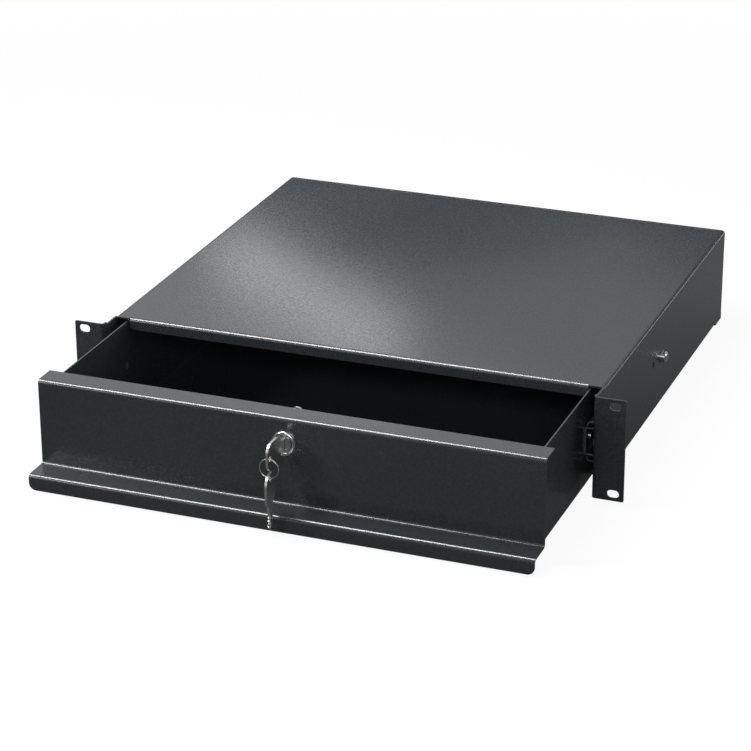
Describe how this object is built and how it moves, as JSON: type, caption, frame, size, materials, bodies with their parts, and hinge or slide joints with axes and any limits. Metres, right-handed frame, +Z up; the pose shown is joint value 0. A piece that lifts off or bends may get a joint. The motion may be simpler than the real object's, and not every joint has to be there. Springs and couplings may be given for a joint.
{
  "type": "sliding rack drawer",
  "caption": "Lockable sliding storage drawer for a 19-inch rack: sheet-steel housing with rack ears, ball-bearing slides, finger-pull front panel, cam lock and keys.",
  "frame": {"origin": "centre of the rectangle of four rack slots, on the rear faces of the two rack ears, which seat on the rack's rails", "axes": "+X to the right seen from in front of the drawer, +Y to the rear into the rack, +Z up; the drawer is stored pulled out 120 mm towards -Y, as in the picture"},
  "size_m": [0.4826, 0.5751, 0.0884],
  "materials": {
    "housing_coat": "fine-textured powder coat",
    "drawer_coat": "fine-textured powder coat",
    "zinc_steel": "bright zinc plate",
    "polished_steel": "polished",
    "lock_chrome": "chrome plate",
    "key_nickel": "nickel plate",
    "brass_wafers": "stamped",
    "black_rubber": "matt"
  },
  "bodies": {
    "housing": {"housing_shell": "housing_coat", "rear_panel": "housing_coat", "rear_screws": "zinc_steel", "rear_clinch_nuts": "zinc_steel", "rear_bumpers": "black_rubber", "slide_outer_left": "zinc_steel", "slide_outer_right": "zinc_steel", "slide_screws": "zinc_steel", "slide_washers": "zinc_steel"},
    "drawer": {"drawer_tray": "drawer_coat", "tray_front_wall": "drawer_coat", "tray_rear_wall": "drawer_coat", "front_panel": "drawer_coat", "panel_studs": "zinc_steel", "panel_nuts": "zinc_steel", "slide_inner_left": "zinc_steel", "slide_inner_right": "zinc_steel", "slide_rivets": "zinc_steel", "lock_body": "lock_chrome", "lock_nut": "zinc_steel"},
    "left_cage": {"ball_cage_left": "zinc_steel", "slide_balls_left": "polished_steel"},
    "right_cage": {"ball_cage_right": "zinc_steel", "slide_balls_right": "polished_steel"},
    "lock_barrel": {"lock_plug": "lock_chrome", "lock_wafers": "brass_wafers", "lock_cam": "zinc_steel", "cam_screw": "zinc_steel", "lock_key": "key_nickel"},
    "ring": {"key_ring": "key_nickel"},
    "hanging_key": {"spare_key": "key_nickel"}
  },
  "joints": [
    {"name": "drawer_slide", "type": "slide", "parent": "housing", "child": "drawer", "axis": [0, -1, 0], "range_m": [-0.12, 0.15]},
    {"name": "left_cage_roll", "type": "slide", "parent": "housing", "child": "left_cage", "axis": [0, -1, 0], "range_m": [-0.06, 0.075]},
    {"name": "right_cage_roll", "type": "slide", "parent": "housing", "child": "right_cage", "axis": [0, -1, 0], "range_m": [-0.06, 0.075]},
    {"name": "lock_turn", "type": "hinge", "parent": "drawer", "child": "lock_barrel", "pos_m": [0, -0.1215, 0.021], "axis": [0, -1, 0], "range_deg": [0, 90]},
    {"name": "ring_swing", "type": "hinge", "parent": "lock_barrel", "child": "ring", "pos_m": [0, -0.1515, 0.021], "axis": [1, 0, 0], "range_deg": [-60, 1]},
    {"name": "spare_key_swing", "type": "hinge", "parent": "ring", "child": "hanging_key", "pos_m": [0, -0.1515, 0.0046], "axis": [1, 0, 0], "range_deg": [-30, 1]}
  ],
  "couplings": [
    {"joint": "left_cage_roll", "follows": "drawer_slide", "ratio": 0.5},
    {"joint": "right_cage_roll", "follows": "drawer_slide", "ratio": 0.5}
  ]
}
